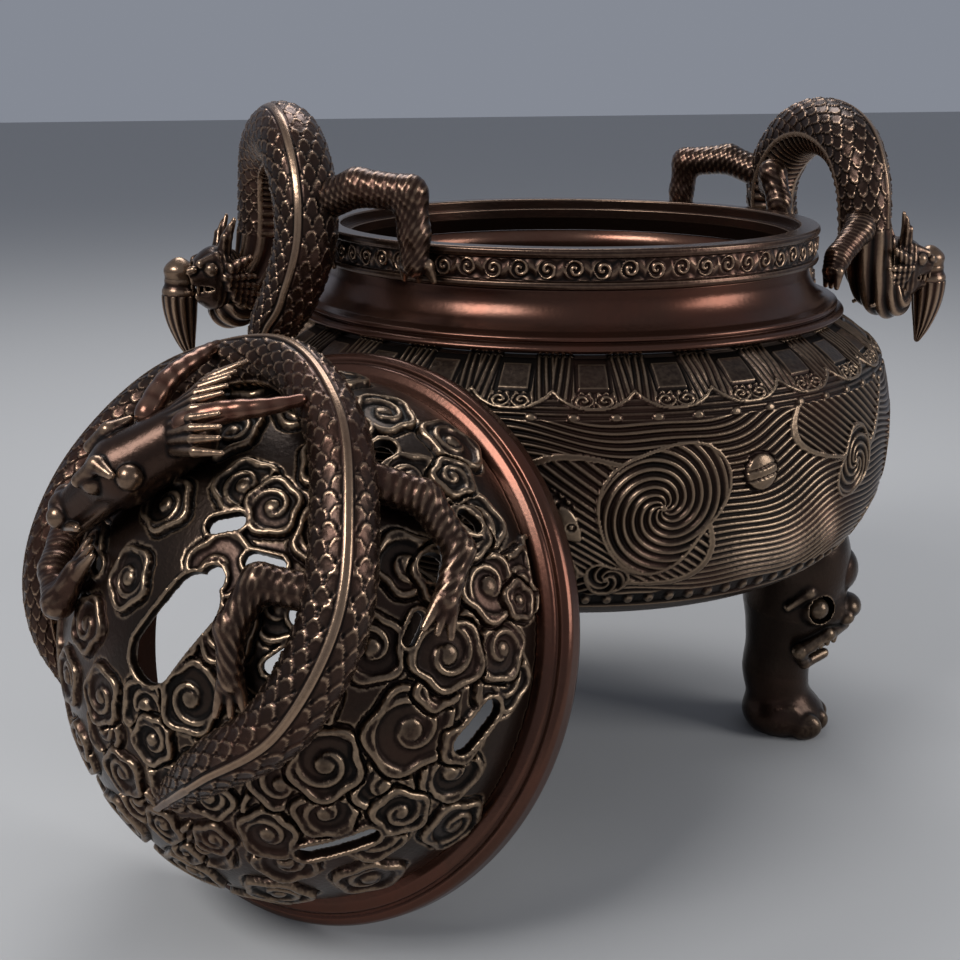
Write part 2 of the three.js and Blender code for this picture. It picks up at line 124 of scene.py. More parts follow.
def tone_of(points, quads, normals, spread):
    """0 in a hollow, 1 on an edge, from how far each point stands out from its neighbours."""
    first = quads.ravel()
    second = np.roll(quads, -1, axis=1).ravel()
    count = np.bincount(first, minlength=len(points)) + np.bincount(second, minlength=len(points))
    count = np.maximum(count, 1)

    def mean_around(values):
        total = np.bincount(first, values[second], len(points))
        total += np.bincount(second, values[first], len(points))
        return total / count

    offset = np.stack([points[:, i] - mean_around(points[:, i]) for i in range(3)], 1)
    edge = np.mean(np.linalg.norm(points[first] - points[second], axis=1))
    bend = np.einsum("ij,ij->i", offset, normals) / edge
    for _ in range(spread):
        bend = 0.5 * bend + 0.5 * mean_around(bend)
    return 0.5 + 0.5 * np.tanh(bend * 9.0)


def make_piece(name, points, quads, finish, body, nodes=(), height=None, spread=2):
    """Adds a mesh in the shared frame. height, 0 to 1, joins the surface's own bend in its tone."""
    world = (points + AXIS) * 0.001
    a, b, c, d = (world[quads[:, i]] for i in range(4))
    volume = np.einsum("ij,ij->i", a, np.cross(b, c) + np.cross(c, d)).sum()
    if volume < 0:
        quads = quads[:, ::-1]
    mesh = bpy.data.meshes.new(name)
    mesh.from_pydata(world.tolist(), [], [[*dict.fromkeys(q)] for q in quads.tolist()])
    mesh.validate()
    mesh.shade_smooth()
    normals = np.zeros(len(world) * 3, np.float32)
    mesh.vertex_normals.foreach_get("vector", normals)
    tone = tone_of(points, quads, normals.reshape(-1, 3), spread)
    if height is not None:
        tone = np.clip(0.45 * tone + 0.55 * height, 0, 1)
    attribute = mesh.attributes.new("tone", "FLOAT", "POINT")
    attribute.data.foreach_set("value", tone.astype(np.float32))
    piece = bpy.data.objects.new(name, mesh)
    bpy.context.scene.collection.objects.link(piece)
    mesh.materials.append(finishes[finish])
    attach(piece, body)
    if nodes:
        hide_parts(*nodes)
    return piece


# Materials

def bronze(name, hollow, middle, edge, chestnut, patchiness, rough_low, rough_high, grain):
    """Patinated bronze: dark in hollows, worn bright on edges, with patches of a redder patina."""
    material = bpy.data.materials.new(name)
    material.use_nodes = True
    nodes = material.node_tree.nodes
    links = material.node_tree.links
    shader = nodes["Principled BSDF"]
    shader.inputs["Metallic"].default_value = 0.86
    place = nodes.new("ShaderNodeTexCoord")
    tone = nodes.new("ShaderNodeAttribute")
    tone.attribute_name = "tone"

    def noise(scale, detail):
        node = nodes.new("ShaderNodeTexNoise")
        node.inputs["Scale"].default_value = scale
        node.inputs["Detail"].default_value = detail
        links.new(place.outputs["Object"], node.inputs["Vector"])
        return node

    fine = noise(900, 4)
    broad = noise(34, 5)
    wear = nodes.new("ShaderNodeMath")
    wear.operation = "MULTIPLY_ADD"
    links.new(fine.outputs["Fac"], wear.inputs[0])
    wear.inputs[1].default_value = 0.16
    links.new(tone.outputs["Fac"], wear.inputs[2])
    ramp = nodes.new("ShaderNodeValToRGB")
    stops = ramp.color_ramp.elements
    stops[0].position = 0.34
    stops[0].color = (*hollow, 1)
    stops[1].position = 0.68
    stops[1].color = (*middle, 1)
    bright = stops.new(0.98)
    bright.color = (*edge, 1)
    links.new(wear.outputs[0], ramp.inputs[0])
    patch = nodes.new("ShaderNodeMapRange")
    patch.inputs["From Min"].default_value = 0.48
    patch.inputs["From Max"].default_value = 0.66
    patch.inputs["To Max"].default_value = patchiness
    links.new(broad.outputs["Fac"], patch.inputs["Value"])
    mix = nodes.new("ShaderNodeMix")
    mix.data_type = "RGBA"
    links.new(patch.outputs["Result"], mix.inputs["Factor"])
    links.new(ramp.outputs["Color"], mix.inputs["A"])
    mix.inputs["B"].default_value = (*chestnut, 1)
    links.new(mix.outputs["Result"], shader.inputs["Base Color"])
    rough = nodes.new("ShaderNodeMapRange")
    rough.inputs["From Min"].default_value = 0.35
    rough.inputs["From Max"].default_value = 0.62
    rough.inputs["To Min"].default_value = rough_high
    rough.inputs["To Max"].default_value = rough_low
    links.new(wear.outputs[0], rough.inputs["Value"])
    links.new(rough.outputs["Result"], shader.inputs["Roughness"])
    bump = nodes.new("ShaderNodeBump")
    bump.inputs["Strength"].default_value = grain
    bump.inputs["Distance"].default_value = 0.0003
    links.new(fine.outputs["Fac"], bump.inputs["Height"])
    links.new(bump.outputs["Normal"], shader.inputs["Normal"])
    return material


finishes = {
    "bronze_relief": bronze("bronze_relief", (0.006, 0.004, 0.003), (0.038, 0.024, 0.017),
                            (0.27, 0.19, 0.125), (0.060, 0.026, 0.017), 0.40, 0.28, 0.50, 0.30),
    "bronze_smooth": bronze("bronze_smooth", (0.028, 0.014, 0.010), (0.100, 0.045, 0.030),
                            (0.20, 0.110, 0.075), (0.120, 0.043, 0.027), 0.65, 0.24, 0.36, 0.12),
    "bronze_worn": bronze("bronze_worn", (0.008, 0.005, 0.004), (0.054, 0.030, 0.021),
                          (0.33, 0.22, 0.145), (0.080, 0.033, 0.021), 0.45, 0.26, 0.46, 0.20),
}


# Surfaces of revolution

def turned(name, profile, columns, relief, finish, body, nodes, frame_of=None):
    """A closed turned skin. relief(along, angle, radius, height) gives outward travel and a 0 to 1 height."""
    step = np.gradient(profile, axis=0)
    outward = unit(np.stack([step[:, 1], -step[:, 0]], 1))
    along = np.concatenate([[0], np.cumsum(np.linalg.norm(np.diff(profile, axis=0), axis=1))])
    angle = np.linspace(0, TAU, columns, endpoint=False)
    s, a = np.meshgrid(along, angle, indexing="ij")
    travel, height = relief(s, a, profile[:, :1] + 0 * a, profile[:, 1:] + 0 * a)
    radius = profile[:, :1] + travel * outward[:, :1]
    level = profile[:, 1:] + travel * outward[:, 1:]
    points = np.stack([radius * np.cos(a), radius * np.sin(a), level + 0 * a], -1).reshape(-1, 3)
    if frame_of is not None:
        points = frame_of(points)
    return make_piece(name, points, grid_quads(len(profile), columns), finish, body, nodes, height.ravel())


def resampled(profile, step):
    profile = np.asarray(profile, float)
    length = np.concatenate([[0], np.cumsum(np.linalg.norm(np.diff(profile, axis=0), axis=1))])
    wanted = np.linspace(0, length[-1], int(length[-1] / step) + 2)
    return np.stack([np.interp(wanted, length, profile[:, i]) for i in range(2)], 1)


HIGH = NECK_BOTTOM - GAP
belly_points = [
    (BELLY_RADIUS * 0.46, UNDERSIDE),
    (BELLY_RADIUS * 0.67, UNDERSIDE + 2.2),
    (BELLY_RADIUS * 0.86, UNDERSIDE + (BELLY_HEIGHT - UNDERSIDE) * 0.2),
    (BELLY_RADIUS * 0.97, UNDERSIDE + (BELLY_HEIGHT - UNDERSIDE) * 0.54),
    (BELLY_RADIUS, BELLY_HEIGHT),
    (BELLY_RADIUS * 0.965, HIGH - (HIGH - BELLY_HEIGHT) * 0.38),
    (BELLY_RADIUS * 0.9, HIGH - (HIGH - BELLY_HEIGHT) * 0.16),
    (SHOULDER_RADIUS - 1.5, HIGH),
]
belly, _ = through(belly_points, 240)
RELIEF_LOW = 68.5
BAND_LOW = 124.5
BAND_SLOPE = 18.0
PANELS = 28
PANEL_WIDTH = TAU * 90 / PANELS
WAVE_PITCH = 1.95
SLANT_LINES = 175
RELIEF_DEPTH = 1.15

rng = np.random.default_rng(7)
# Degrees round the bowl, height, radius and number of arms; the first faces the viewer.
whirls = [(-99, 101, 15.0, 8), (-107, 81, 4.6, 4), (-114, 84, 4.0, 3), (-60, 104, 8.0, 5), (-134, 104, 9.0, 5)]
for step in range(30):
    whirls.append((-44 + step * 8.6, 79 + 36 * ((step * 0.618) % 1), 4.5 + 5.0 * rng.random(), 3 + step % 3))
PEARL = (-83, 108, 4.7)
FISH = (-114, 98)


def from_place(a, y, degrees, level):
    """Millimetres round and up from a place on the bowl."""
    turn = (a - math.radians(degrees) + math.pi) % TAU - math.pi
    return turn * BELLY_RADIUS, y - level


def wave_lines(a, y):
    """The sea: lines that flow in patches and wind into whirls, with raised crests where patches meet."""
    level = y / WAVE_PITCH + 1.7 * np.sin(3 * a + 1) + 1.2 * np.sin(7 * a + y / 17)
    level = level + 0.5 * np.sin(16 * a + y / 9)
    slant = 0.80 * y / WAVE_PITCH + SLANT_LINES * a / TAU + 0.8 * np.sin(y / 9 + 5 * a)
    patch = np.sin(6 * a + 1.4 * np.sin(y / 15)) + np.sin(3 * a - y / 13 + 2)
    phase = np.where(patch > 0.7, slant, level)
    crest = np.abs(patch - 0.7) < 0.07
    for index, (degrees, middle, size, arms) in enumerate(whirls):
        x, rise = from_place(a, y, degrees, middle)
        far = np.hypot(x, rise)
        turn = np.arctan2(rise, x)
        hand = 1 if index % 2 else -1
        edge = size * (1.12 + 0.10 * np.sin(3 * turn + index) + 0.14 * np.sin(2 * turn + 2 * index))
        inside = far < edge
        phase = np.where(inside, 0.8 * far / WAVE_PITCH + arms * hand * turn / TAU, phase)
        crest &= ~inside
        crest |= (np.abs(far - edge) < 0.45) | (far < 0.8)
    return np.where(crest, 1.0, 0.08 + 0.84 * ridge(TAU * phase))


def lappet_band(a, y):
    """Hanging panels under the shoulder, with strands, a plain square, a pair of scrolls and beads."""
    cell = np.abs((a / TAU * PANELS) % 1 - 0.5)
    rise = (y - BAND_LOW) / (HIGH - 1.0 - BAND_LOW)
    hem = 0.10 + 0.34 * (cell * 2) ** 2.4
    band = 0.15 + 0.7 * ridge(TAU * (cell * PANEL_WIDTH / 1.9 + 0.9 * rise))
    band = np.where((rise > hem) & (rise < hem + 0.07), 1.0, band)
    band = np.where(rise < hem, 0.15 + 0.5 * ridge(TAU * (y / 1.6)), band)
    square = (cell < 0.19) & (rise > 0.52) & (rise < 0.95)
    frame_line = (cell < 0.24) & (rise > 0.46) & ~square
    band = np.where(frame_line, 0.06, np.where(square, 0.72, band))
    curl = np.hypot((cell - 0.13) * PANEL_WIDTH, (rise - 0.30) * BAND_SLOPE)
    curl_turn = np.arctan2((rise - 0.30) * BAND_SLOPE, (cell - 0.13) * PANEL_WIDTH)
    band = np.where(curl < 2.5, 0.1 + 0.9 * ridge(TAU * curl / 1.7 + curl_turn), band)
    bead_x = ((a / TAU * PANELS * 2) % 1 - 0.5) * PANEL_WIDTH / 2
    bead = np.hypot(bead_x, (y - BAND_LOW + 0.6) * 1.3)
    return np.where(bead < 1.5, np.sqrt(np.clip(1.2 - (bead / 1.5) ** 2, 0, 1)), band)


def belly_relief(s, a, radius, level):
    outside = s < s_outside
    y = level
    height = wave_lines(a, y)
    bubble_x = ((a / TAU * 100) % 1 - 0.5) * 6.2
    bubble = np.hypot(bubble_x, y - 73.4)
    height = np.where((y > 71) & (y < 75.8), 0.12 + 0.88 * smooth(1.9, 0.8, bubble), height)
    height = np.where((y > RELIEF_LOW - 1.6) & (y < 71), 0.8, height)
    height = np.where(y > BAND_LOW - 1.4, lappet_band(a, y), height)
    x, rise = from_place(a, y, PEARL[0], PEARL[1])
    pearl = np.hypot(x, rise) / PEARL[2]
    ball = 1.0 + 1.1 * np.sqrt(np.clip(1 - pearl**2, 0, 1))
    ball = ball - 0.5 * (np.abs(np.abs(rise - 0.2 * x) - 1.3) < 0.35)
    height = np.where(pearl < 1, ball, np.where(pearl < 1.16, 0.0, height))
    x, rise = from_place(a, y, FISH[0], FISH[1])
    along, across = 0.70 * x - 0.71 * rise, 0.71 * x + 0.70 * rise
    scales = (along < 0) & (np.hypot(along / 13, across / 5.5) < 1)
    height = np.where(scales, 0.2 + 0.8 * ridge(TAU * along / 2.4) * ridge(TAU * across / 2.4), height)
    snout = np.hypot((along - 1.5) / 5.6, across / (3.9 - 0.28 * along))
    face = 1.0 + 0.9 * np.sqrt(np.clip(1 - snout**2, 0, 1))
    face = face - 0.6 * (np.abs(np.hypot(along - 2.6, across - 0.9) - 0.9) < 0.3)
    height = np.where((snout < 1) & (along > -3), face, height)
    relief = outside & (level > RELIEF_LOW - 1.6)
    height = np.where(relief, height, np.where(outside, 0.55, 0.25))
    travel = np.where(relief, (height - 1) * RELIEF_DEPTH, np.where(outside, -0.9, 0.0))
    return travel, np.clip(height, 0, 1)


inner = np.stack([belly[:, 0] - WALL, np.maximum(belly[:, 1], UNDERSIDE + WALL)], 1)[::-1]
plain_part = belly[belly[:, 1] < RELIEF_LOW - 2]
carved_part = belly[belly[:, 1] >= RELIEF_LOW - 2]
plain_skin = resampled(np.vstack([[(0.02, UNDERSIDE)], plain_part]), 1.2)
outer_skin = np.vstack([plain_skin, resampled(carved_part, 0.27)])
inner_skin = resampled(np.vstack([inner, [(0.02, UNDERSIDE + WALL)]]), 1.6)
s_outside = np.linalg.norm(np.diff(outer_skin, axis=0), axis=1).sum() + 0.05
turned("bowl_shell", np.vstack([outer_skin, inner_skin]), 2300, belly_relief, "bronze_relief", "censer",
       ["belly_bowl"])


def plain(s, a, radius, level):
    return 0 * s, 0.52 + 0 * s


neck_outside = [
    (SHOULDER_RADIUS - 0.4, NECK_BOTTOM + 0.05), (SHOULDER_RADIUS + 0.4, NECK_BOTTOM + 0.6),
    (SHOULDER_RADIUS + 0.6, NECK_BOTTOM + 1.3), (SHOULDER_RADIUS - 0.2, NECK_BOTTOM + 2.1),
    (SHOULDER_RADIUS - 1.9, NECK_BOTTOM + 2.5), (SHOULDER_RADIUS - 1.3, NECK_BOTTOM + 3.0),
    (SHOULDER_RADIUS - 1.5, NECK_BOTTOM + 3.9), (SHOULDER_RADIUS - 3.4, NECK_BOTTOM + 4.5),
    (SHOULDER_RADIUS - 4.9, NECK_BOTTOM + 5.1), (NECK_RADIUS + 2.2, NECK_BOTTOM + 7.5),
    (NECK_RADIUS + 0.3, NECK_BOTTOM + 11), (NECK_RADIUS, NECK_BOTTOM + 14.7),
]
neck_curve, _ = through(neck_outside, 90)
neck_inside = [(NECK_RADIUS - WALL, NECK_BOTTOM + 14.7), (NECK_RADIUS - WALL + 1, NECK_BOTTOM + 7.5),
               (SHOULDER_RADIUS - WALL - 1.5, NECK_BOTTOM + 0.05)]
turned("neck_skin", np.vstack([neck_curve, neck_inside, neck_curve[:1]]), 360, plain, "bronze_smooth",
       "censer", ["neck_ring"])

SCROLLS = 66


def collar_relief(s, a, radius, level):
    band = (radius > RIM_RADIUS - 1.4) & (level > COLLAR_BOTTOM + 2.4) & (level < RIM_HEIGHT - 2.7)
    width = TAU * RIM_RADIUS / SCROLLS
    number = np.floor(a / TAU * SCROLLS)
    x = ((a / TAU * SCROLLS) % 1 - 0.5) * width
    middle = (COLLAR_BOTTOM + RIM_HEIGHT) / 2
    side = np.where(number % 2 > 0, 1, -1)
    y = (level - middle) * side
    curl = np.hypot(x + 0.5, y - 0.1)
    spiral = ridge(TAU * curl / 1.8 - np.arctan2(y, x + 0.5)) * (curl < 2.35)
    tail = ridge(TAU * (y - 0.9 * np.sin(x * 0.9)) / 4.6) * (curl >= 2.35)
    height = 0.1 + 0.9 * np.maximum(spiral, 0.8 * tail)
    travel = np.where(band, 0.85 * height - 0.15, 0.0)
    return travel, np.where(band, height, 0.66)


collar_outside = [
    (RIM_RADIUS - 1, COLLAR_BOTTOM + 0.05), (RIM_RADIUS - 0.25, COLLAR_BOTTOM + 0.3),
    (RIM_RADIUS, COLLAR_BOTTOM + 1.0), (RIM_RADIUS - 0.2, COLLAR_BOTTOM + 1.8),
    (RIM_RADIUS - 1, COLLAR_BOTTOM + 2.2), (RIM_RADIUS - 1, RIM_HEIGHT - 2.6),
    (RIM_RADIUS - 0.3, RIM_HEIGHT - 2.2), (RIM_RADIUS, RIM_HEIGHT - 1.4),
    (RIM_RADIUS - 0.15, RIM_HEIGHT - 0.5), (RIM_RADIUS - 0.7, RIM_HEIGHT),
]
collar_inside = [
    (RIM_RADIUS - 5.7, RIM_HEIGHT), (RIM_RADIUS - 6, RIM_HEIGHT - 0.4), (RIM_RADIUS - 6, RIM_HEIGHT - 3.2),
    (RIM_RADIUS - 8.5, RIM_HEIGHT - 3.2), (RIM_RADIUS - 8.5, RIM_HEIGHT - 6),
    (NECK_RADIUS - WALL, COLLAR_BOTTOM + 0.05), (RIM_RADIUS - 1, COLLAR_BOTTOM + 0.05),
]
turned("collar_skin", resampled(collar_outside + collar_inside, 0.16), 1900, collar_relief, "bronze_worn",
       "censer", ["rim_collar"])


# Distance fields, for what is modelled like wax

def ellipsoid(p, centre, radii):
    q = (p - np.asarray(centre, np.float32)) / np.asarray(radii, np.float32)
    near = np.linalg.norm(q, axis=-1)
    slope = np.linalg.norm(q / np.asarray(radii, np.float32), axis=-1)
    return near * (near - 1) / np.maximum(slope, 1e-6)


def limb(p, start, end, start_radius, end_radius):
    start = np.asarray(start, np.float32)
    span = np.asarray(end, np.float32) - start
    t = np.clip((p - start) @ span / (span @ span), 0, 1)
    radius = start_radius + (end_radius - start_radius) * t
    return np.linalg.norm(p - start - t[..., None] * span, axis=-1) - radius


def blend(a, b, width):
    h = np.clip(0.5 + 0.5 * (b - a) / width, 0, 1)
    return b + (a - b) * h - width * h * (1 - h)


def wax(name, low, high, step, field, place, finish, body, nodes=(), spread=3):
    """Meshes the zero level of a distance field, in millimetres, and puts it in place."""
    axes = [np.arange(low[i], high[i] + step, step, dtype=np.float32) for i in range(3)]
    p = np.stack(np.meshgrid(*axes, indexing="ij"), -1)
    values = field(p).astype(np.float32)
    for i in range(3):
        for end in (0, -1):
            edge = [slice(None)] * 3
            edge[i] = end
            values[tuple(edge)] = np.maximum(values[tuple(edge)], step)
    grid = openvdb.FloatGrid(float(step * 3))
    grid.copyFromArray(values)
    points, _, quads = grid.convertToPolygons(0.0, 0.0)
    points = np.asarray(points, float) * step + np.asarray(low, float)
    return make_piece(name, place(points), np.asarray(quads), finish, body, nodes, None, spread)


def turned_by(degrees):
    c = math.cos(math.radians(degrees))
    s = math.sin(math.radians(degrees))
    matrix = np.array([[c, s, 0], [-s, c, 0], [0, 0, 1]])
    return lambda points: points @ matrix


# Legs

lower_belly = belly[belly[:, 1] < BELLY_HEIGHT]


def leg_field(p):
    x, y, z = p[..., 0], p[..., 1], p[..., 2]
    m = np.stack([x, np.abs(y), z], -1)
    d = ellipsoid(m, (75, 0, 57), (16.5, 16, 22))
    d = blend(d, limb(m, (73, 0, 42), (70, 0, 21), 14, 9.2), 6)
    d = blend(d, limb(m, (70, 0, 21), (72, 0, 8), 9.2, 10.5), 5)
    d = blend(d, ellipsoid(m, (73.5, 0, 5.5), (13, 12.8, 8.4)), 3)
    for toe_x, toe_y in ((81.4, 3.3), (79.0, 9.4)):
        toe = blend(ellipsoid(m, (toe_x + 0.6, toe_y, 4.4), (5.8, 3.3, 4.6)),
                    ellipsoid(m, (toe_x - 5, toe_y - 0.3, 8.2), (5.0, 3.0, 4.0)), 1.4)
        d = blend(d, toe, 0.6)
        d = np.maximum(d, -ellipsoid(m, (toe_x + 4.6, toe_y, 1.4), (2.4, 0.5, 0.9)))
    d = np.minimum(d, ellipsoid(m, (85.6, 0, 55.5), (8.2, 8.8, 8.4)))
    d = blend(d, ellipsoid(m, (84, 0, 42.5), (9, 9.4, 6)), 2.5)
    d = blend(d, ellipsoid(m, (91.2, 0, 43.2), (4.4, 5.8, 4.0)), 1.0)
    d = blend(d, ellipsoid(m, (90.4, 4.4, 41.0), (3.0, 2.8, 2.8)), 0.5)
    d = blend(d, limb(m, (88, 3.0, 48.6), (78, 14.4, 52.0), 2.6, 2.0), 0.9)
    d = blend(d, limb(m, (78, 14.4, 52.0), (72, 15.6, 47), 2.0, 1.2), 0.9)
    d = blend(d, limb(m, (90, 0, 37.2), (85, 8, 36.0), 2.6, 2.4), 0.8)
    d = blend(d, limb(m, (85, 8, 36.0), (76.5, 13.2, 31.5), 2.4, 2.3), 0.8)
    d = blend(d, limb(m, (76.5, 13.2, 31.5), (78.5, 10.4, 26.8), 2.3, 1.9), 0.8)
    d = blend(d, limb(m, (78.5, 10.4, 26.8), (84.5, 4.5, 28.2), 1.9, 1.8), 0.8)
    d = np.maximum(d, -ellipsoid(m, (85, 5.5, 32.2), (5.4, 7.4, 2.7)))
    for tooth in range(4):
        root = (88.0 - 2.2 * tooth, 1.5 + 2.8 * tooth, 35.0)
        d = np.minimum(d, limb(m, root, (root[0] - 0.3, root[1], 31.4), 1.3, 0.9))
    socket = ellipsoid(m, (80.8, 11.4, 46.0), (5.8, 5.8, 5.6))
    d = blend(d, socket, 0.8)
    d = np.maximum(d, -ellipsoid(m, (82.2, 13.6, 46.2), (4.7, 4.7, 4.5)))
    d = np.minimum(d, ellipsoid(m, (81.0, 12.2, 46.0), (3.6, 3.6, 3.5)))
    radius = np.hypot(x, y)
    ceiling = np.interp(radius, lower_belly[:, 0], lower_belly[:, 1], right=200)
    d = np.maximum(d, (z - ceiling + 0.9) * 0.8)
    return np.maximum(d, -z + 0.02)


for number, degrees in enumerate(LEG_ANGLES, 1):
    wax(f"leg_casting_{number}", (57, -19, -0.6), (96, 19, 76), 0.42, leg_field, turned_by(degrees),
        "bronze_relief", "censer", [f"mask_leg_{number}"])


# Swept bodies with scales

def scale_height(a, b):
    """Overlapping scales. a counts rows along the body and b counts scales round it."""
    row = np.floor(a)
    height = np.zeros_like(a)
    done = np.zeros(a.shape, bool)
    for back in (1, 0):
        r = row - back
        x = (b + 0.5 * (r % 2)) % 1 - 0.5
        y = a - r
        reach = 1.42 * np.sqrt(np.clip(1 - (1.9 * x) ** 2, 0, 1))
        here = (y < reach) & ~done
        rim = smooth(0.30, 0.0, reach - y)
        height = np.where(here, 0.30 + 0.35 * y / 1.42 + 0.35 * rim, height)
        done |= here
    return height


def sweep(name, stops, count, sides, back, relief, finish, body, nodes=(), place=None):
    """A closed body along a curve; each stop is x, y, z and radius. relief gives travel and a 0 to 1 height."""
    line, along = through(stops, count)
    centre, radius = line[:, :3], line[:, 3]
    forward = unit(np.gradient(centre, axis=0))
    outward = back(centre)
    outward = unit(outward - np.einsum("ij,ij->i", outward, forward)[:, None] * forward)
    across = np.cross(forward, outward)
    angle = np.linspace(0, TAU, sides, endpoint=False)
    s, a = np.meshgrid(along, angle, indexing="ij")
    travel, height = relief(s, a, radius[:, None] + 0 * a, along[-1])
    ends = np.minimum(along, along[-1] - along)
    cap = np.sqrt(np.clip(1 - (1 - np.clip(ends / np.maximum(radius, 0.5), 0, 1)) ** 2, 0.0004, 1))
    reach = (radius[:, None] + travel) * cap[:, None]
    points = (centre[:, None, :] + reach[..., None] * (np.cos(a)[..., None] * outward[:, None, :]
                                                      + np.sin(a)[..., None] * across[:, None, :]))
    points = points.reshape(-1, 3)
    points = points if place is None else place(points)
    return make_piece(name, points, grid_quads(count, sides), finish, body, nodes, height.ravel())


def serpent(row_pitch, spine, plate_pitch, plates_from, mane_from=2.0, reverse=False):
    """Relief of a dragon's body: a spine ridge at angle 0, scales, and belly plates on the inner side."""
    def relief(s, a, radius, total):
        turn = np.abs((a + math.pi) % TAU - math.pi)
        path = total - s if reverse else s
        around = np.round(TAU * np.mean(radius) / (row_pitch * 1.15))
        height = scale_height(path / row_pitch, a / TAU * around)
        plates = ridge(TAU * s / plate_pitch)
        height = np.where(turn > plates_from, 0.2 + 0.7 * plates, height)
        height = np.where(np.abs(turn - plates_from) < 0.09, 0.95, height)
        line = turn * radius
        height = np.where(line < spine, 0.95, np.where(line < spine + 0.6, 0.15, height))
        strands = 0.1 + 0.9 * ridge(a * 9 + 2.2 * np.sin(s / 9))
        height = np.where(s > mane_from * total, strands, height)
        return (height - 1) * 0.85, height
    return relief


body_stops = [
    (ARCH_OFFSET + 13.4, 22, 127, 3.0),
    (ARCH_OFFSET + 12.2, 23, 133, 5.4),
    (ARCH_OFFSET + 9.4, 24, 140.5, 7.0),
    (ARCH_OFFSET + 5, 25.5, 149, 8.0),
    (ARCH_OFFSET + 1, ARCH_HALF_WIDTH, 162, 8.6),
    (ARCH_OFFSET, ARCH_HALF_WIDTH * 0.88, 175, 9.0),
    (ARCH_OFFSET, ARCH_HALF_WIDTH * 0.45, 186, 9.2),
    (ARCH_OFFSET, -ARCH_HALF_WIDTH * 0.12, ARCH_TOP, 9.1),
    (ARCH_OFFSET, -ARCH_HALF_WIDTH * 0.66, 184, 9.0),
    (ARCH_OFFSET, -ARCH_HALF_WIDTH * 0.95, 173, 8.6),
    (ARCH_OFFSET + 1, -ARCH_HALF_WIDTH, 159, 8.2),
    (ARCH_OFFSET + 3, -ARCH_HALF_WIDTH, 149, 7.8),
    (ARCH_OFFSET + 7, -ARCH_HALF_WIDTH, 141, 7.4),
    (ARCH_OFFSET + 12.5, -ARCH_HALF_WIDTH, 137.6, 7.0),
    (ARCH_OFFSET + 17, -ARCH_HALF_WIDTH + 0.5, 141, 6.8),
]
NECK_Y = -ARCH_HALF_WIDTH + 1
SKULL_X = ARCH_OFFSET + 11
KNOB_X = ARCH_OFFSET + 27


def arch_back(centre):
    return centre - np.array([ARCH_OFFSET - 14, 0, 158])


def head_field(p):
    x, y, z = p[..., 0], p[..., 1] - NECK_Y, p[..., 2]
    side = np.abs(y)
    m = np.stack([x - SKULL_X, side, z], -1)
    d = ellipsoid(m, (4.5, 0, 149), (7.6, 7.9, 7.2))
    d = blend(d, limb(m, (5.5, 0, 143), (1, 0, 146), 6.4, 6.6), 2)
    d = blend(d, ellipsoid(m, (10.5, 0, 147.4), (6.6, 5.8, 4.4)), 2)
    d = blend(d, ellipsoid(m, (9.5, 0, 141.6), (6.0, 4.6, 2.3)), 1.2)
    d = blend(d, limb(m, (5, 4.8, 153), (10.5, 5.4, 151.4), 2.1, 1.4), 0.6)
    d = np.minimum(d, ellipsoid(m, (7.4, 6.2, 149.8), (2.4, 2.4, 2.3)))
    d = blend(d, limb(m, (15, 3.4, 148.6), (12.6, 5.2, 149.8), 1.7, 1.2), 0.5)
    d = np.maximum(d, -ellipsoid(m, (13, 4.5, 144.0), (6.5, 4, 0.9)))
    for tooth in range(4):
        root = (7.6 + 1.9 * tooth, 4.7 - 0.2 * tooth, 145.0)
        d = np.minimum(d, limb(m, root, (root[0], root[1], 142.8), 0.7, 0.4))
    d = blend(d, limb(m, (3.5, 3.8, 153.5), (2.4, 5.4, 159), 2.3, 1.6), 0.8)
    d = blend(d, limb(m, (2.4, 5.4, 159), (0.2, 6.2, 164), 1.6, 0.7), 0.6)
    d = blend(d, limb(m, (1.5, 7.2, 150), (-3.5, 9.2, 153), 2.2, 1.0), 0.6)
    for i in range(5):
        root = (3 - 0.7 * i, 7.2 - 0.5 * i, 147.5 - 1.7 * i)
        d = blend(d, limb(m, root, (root[0] - 8, root[1] + 0.8 - 0.3 * i, root[2] - 1.2 * i), 1.8, 0.7), 0.4)
    knob = np.stack([x - KNOB_X, y, z], -1)
    d = np.maximum(d, 5.3 - np.linalg.norm(knob - np.array([0, 0, 148.4], np.float32), axis=-1))
    d = np.maximum(d, -limb(knob, (0.3, 0, 148), (0, 0, 134), 5.3, 5.2))
    return d - 0.14 * np.cos(TAU * (m[..., 0] + 0.6 * side) / 1.9) * smooth(8, 3, m[..., 0])


def beard_relief(s, a, radius, total):
    rings = ridge(TAU * s / 3.4)
    ribs = 0.35 + 0.65 * ridge(a * 12)
    height = np.where(s < 0.36 * total, 0.35 + 0.6 * rings, ribs)
    height = np.where(s < 0.20 * total, 0.9, height)
    return (height - 1) * 0.55, height


beard_stops = [
    (KNOB_X, NECK_Y, 153.2, 2.6), (KNOB_X, NECK_Y, 150.4, 4.7), (KNOB_X, NECK_Y, 146.8, 4.5),
    (KNOB_X + 0.4, NECK_Y, 141.5, 5.3), (KNOB_X + 0.2, NECK_Y, 135, 4.7), (KNOB_X - 0.8, NECK_Y, 128, 2.9),
    (KNOB_X - 2.4, NECK_Y, 122.2, 0.7),
]


